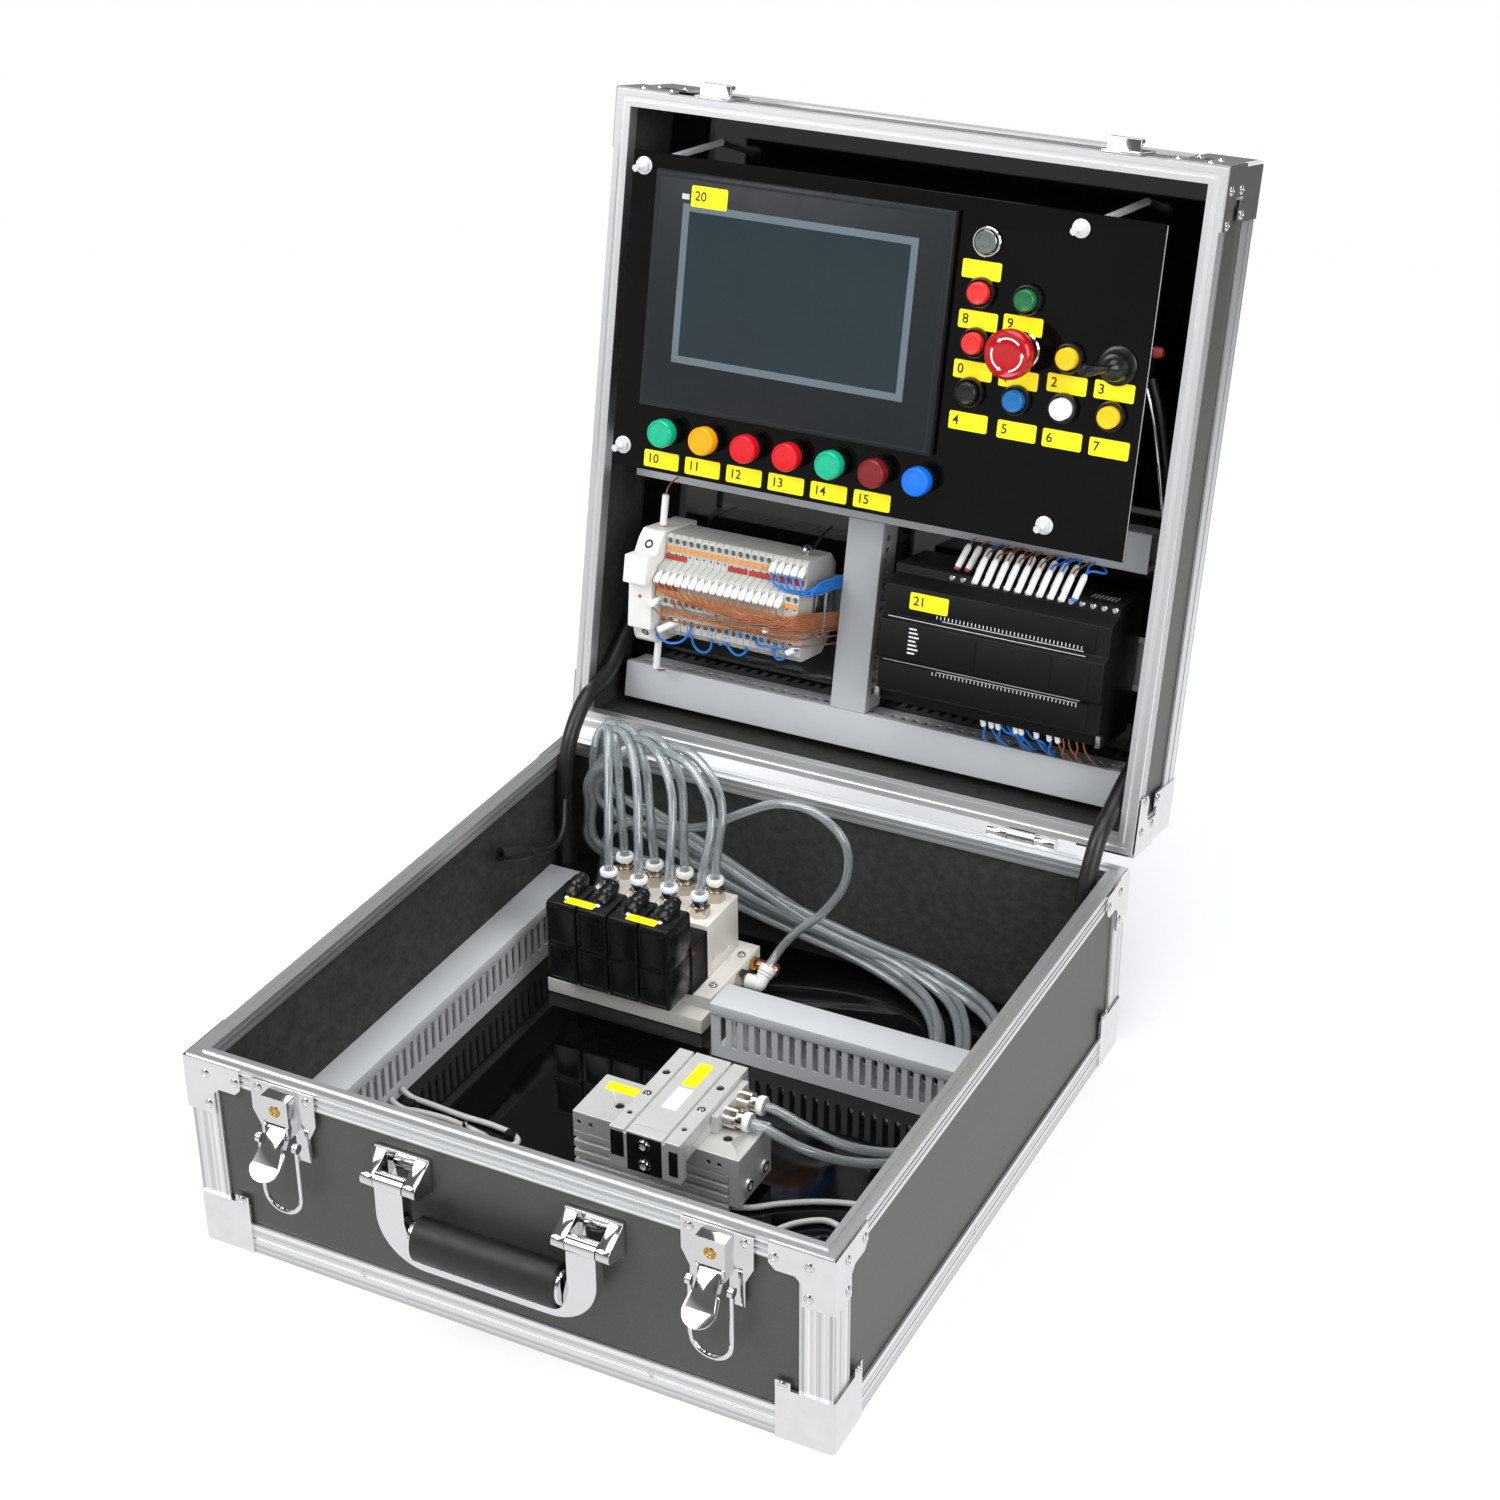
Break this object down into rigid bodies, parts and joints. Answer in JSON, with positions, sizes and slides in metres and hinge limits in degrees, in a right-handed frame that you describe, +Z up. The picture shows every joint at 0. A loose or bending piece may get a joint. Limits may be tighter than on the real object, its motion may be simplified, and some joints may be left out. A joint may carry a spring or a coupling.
{
  "type": "plc pneumatic trainer",
  "caption": "Suitcase trainer: pneumatic valves and crossed slides in the base, a logic controller and an operator panel in the hinged lid.",
  "frame": {"origin": "centre of the case's underside, on the surface it stands on", "axes": "+X to the right seen from the front, +Y from the handle side towards the hinges, +Z up"},
  "size_m": [0.403, 0.6123, 0.5524],
  "materials": {
    "aluminium": "satin extruded",
    "pebbled_panel": "pebbled black laminate",
    "chrome": "bright plated steel",
    "black_acrylic": "polished sheet",
    "black_plastic": "moulded",
    "grey_plastic": "moulded duct",
    "terminal_plastic": "moulded terminals",
    "white_plastic": "moulded",
    "ivory_paint": "satin",
    "clear_tube": "clear hose",
    "grey_cable": "cable jacket",
    "black_cable": "cable jacket",
    "rubber": "moulded grip",
    "metal_cap": "turned",
    "red": "moulded",
    "green": "moulded",
    "yellow": "moulded",
    "blue": "moulded",
    "white": "moulded",
    "black": "moulded"
  },
  "bodies": {
    "case": {"base_shell": "pebbled_panel", "base_rim": "aluminium", "base_edge_frame": "aluminium", "hinge_leaf_left": "chrome", "hinge_leaf_right": "chrome", "floor_plate": "black_acrylic", "base_duct_left": "grey_plastic", "base_duct_cross": "grey_plastic", "valve_manifold": "ivory_paint", "solenoid_valve_1": "ivory_paint", "solenoid_valve_2": "ivory_paint", "solenoid_valve_3": "ivory_paint", "solenoid_valve_4": "ivory_paint", "slide_x_body": "aluminium", "latch_plate_left": "chrome", "latch_plate_right": "chrome", "handle_mount_left": "chrome", "handle_mount_right": "chrome", "cable_bundle_left": "black_cable", "cable_bundle_right": "black_cable", "power_lead": "black_cable", "power_socket": "black_plastic", "valve_tubes": "clear_tube", "slide_tubes": "clear_tube", "sensor_cable_left": "grey_cable", "sensor_cable_right": "grey_cable"},
    "slide_x": {"slide_x_table": "aluminium", "slide_y_body": "aluminium"},
    "slide_y": {"slide_y_table": "aluminium"},
    "latch_lever_left": {"latch_lever_left": "chrome"},
    "latch_bail_left": {"latch_bail_left": "chrome"},
    "latch_lever_right": {"latch_lever_right": "chrome"},
    "latch_bail_right": {"latch_bail_right": "chrome"},
    "handle": {"handle_frame": "chrome", "handle_grip": "rubber"},
    "lid": {"lid_shell": "pebbled_panel", "lid_rim": "aluminium", "lid_edge_frame": "aluminium", "lid_catch_left": "chrome", "lid_catch_right": "chrome", "mounting_plate": "black_acrylic", "control_panel": "black_acrylic", "operator_screen": "black_plastic", "lid_duct_lower": "grey_plastic", "lid_duct_upper": "grey_plastic", "lid_duct_upright": "grey_plastic", "terminal_strip": "terminal_plastic", "fuse_holder": "white_plastic", "logic_controller": "black_plastic"},
    "push_button_power": {"push_button_power": "metal_cap"},
    "push_button_red_upper": {"push_button_red_upper": "red"},
    "push_button_green": {"push_button_green": "green"},
    "push_button_red_lower": {"push_button_red_lower": "red"},
    "push_button_yellow_upper": {"push_button_yellow_upper": "yellow"},
    "push_button_black": {"push_button_black": "black"},
    "push_button_blue": {"push_button_blue": "blue"},
    "push_button_white": {"push_button_white": "white"},
    "push_button_yellow_lower": {"push_button_yellow_lower": "yellow"},
    "emergency_stop": {"emergency_stop": "red"},
    "toggle": {"toggle_lever": "black_plastic"}
  },
  "joints": [
    {"name": "lid_hinge", "type": "hinge", "parent": "case", "child": "lid", "pos_m": [0, 0.215, 0.129], "axis": [1, 0, 0], "range_deg": [0, 102], "deforming": ["cable_bundle_left", "cable_bundle_right"]},
    {"name": "handle_swing", "type": "hinge", "parent": "case", "child": "handle", "pos_m": [0.0016, -0.222, 0.095], "axis": [-1, 0, 0], "range_deg": [0, 95]},
    {"name": "slide_x_travel", "type": "slide", "parent": "case", "child": "slide_x", "axis": [1, 0, 0], "range_m": [0, 0.03], "deforming": ["slide_tubes"]},
    {"name": "slide_y_travel", "type": "slide", "parent": "slide_x", "child": "slide_y", "axis": [0, -1, 0], "range_m": [0, 0.03]},
    {"name": "latch_lever_swing_left", "type": "hinge", "parent": "case", "child": "latch_lever_left", "pos_m": [-0.1345, -0.2173, 0.1025], "axis": [-1, 0, 0], "range_deg": [0, 75]},
    {"name": "latch_bail_swing_left", "type": "hinge", "parent": "latch_lever_left", "child": "latch_bail_left", "pos_m": [-0.1345, -0.21924, 0.0945], "axis": [-1, 0, 0], "range_deg": [-6, 100]},
    {"name": "latch_lever_swing_right", "type": "hinge", "parent": "case", "child": "latch_lever_right", "pos_m": [0.1345, -0.2173, 0.1025], "axis": [-1, 0, 0], "range_deg": [0, 75]},
    {"name": "latch_bail_swing_right", "type": "hinge", "parent": "latch_lever_right", "child": "latch_bail_right", "pos_m": [0.1345, -0.21924, 0.0945], "axis": [-1, 0, 0], "range_deg": [-6, 100]},
    {"name": "press_power", "type": "slide", "parent": "lid", "child": "push_button_power", "axis": [0, 0.9781, -0.2079], "range_m": [0, 0.003], "stiffness_N_per_m": 400, "springref_m": -0.002},
    {"name": "press_red_upper", "type": "slide", "parent": "lid", "child": "push_button_red_upper", "axis": [0, 0.9781, -0.2079], "range_m": [0, 0.003], "stiffness_N_per_m": 400, "springref_m": -0.002},
    {"name": "press_green", "type": "slide", "parent": "lid", "child": "push_button_green", "axis": [0, 0.9781, -0.2079], "range_m": [0, 0.003], "stiffness_N_per_m": 400, "springref_m": -0.002},
    {"name": "press_red_lower", "type": "slide", "parent": "lid", "child": "push_button_red_lower", "axis": [0, 0.9781, -0.2079], "range_m": [0, 0.003], "stiffness_N_per_m": 400, "springref_m": -0.002},
    {"name": "press_yellow_upper", "type": "slide", "parent": "lid", "child": "push_button_yellow_upper", "axis": [0, 0.9781, -0.2079], "range_m": [0, 0.003], "stiffness_N_per_m": 400, "springref_m": -0.002},
    {"name": "press_black", "type": "slide", "parent": "lid", "child": "push_button_black", "axis": [0, 0.9781, -0.2079], "range_m": [0, 0.003], "stiffness_N_per_m": 400, "springref_m": -0.002},
    {"name": "press_blue", "type": "slide", "parent": "lid", "child": "push_button_blue", "axis": [0, 0.9781, -0.2079], "range_m": [0, 0.003], "stiffness_N_per_m": 400, "springref_m": -0.002},
    {"name": "press_white", "type": "slide", "parent": "lid", "child": "push_button_white", "axis": [0, 0.9781, -0.2079], "range_m": [0, 0.003], "stiffness_N_per_m": 400, "springref_m": -0.002},
    {"name": "press_yellow_lower", "type": "slide", "parent": "lid", "child": "push_button_yellow_lower", "axis": [0, 0.9781, -0.2079], "range_m": [0, 0.003], "stiffness_N_per_m": 400, "springref_m": -0.002},
    {"name": "press_emergency_stop", "type": "slide", "parent": "lid", "child": "emergency_stop", "axis": [0, 0.9781, -0.2079], "range_m": [0, 0.004]},
    {"name": "toggle_flip", "type": "hinge", "parent": "lid", "child": "toggle", "pos_m": [0.1565, 0.25496, 0.43385], "axis": [0, 0.2079, 0.9781], "range_deg": [0, 40]}
  ]
}
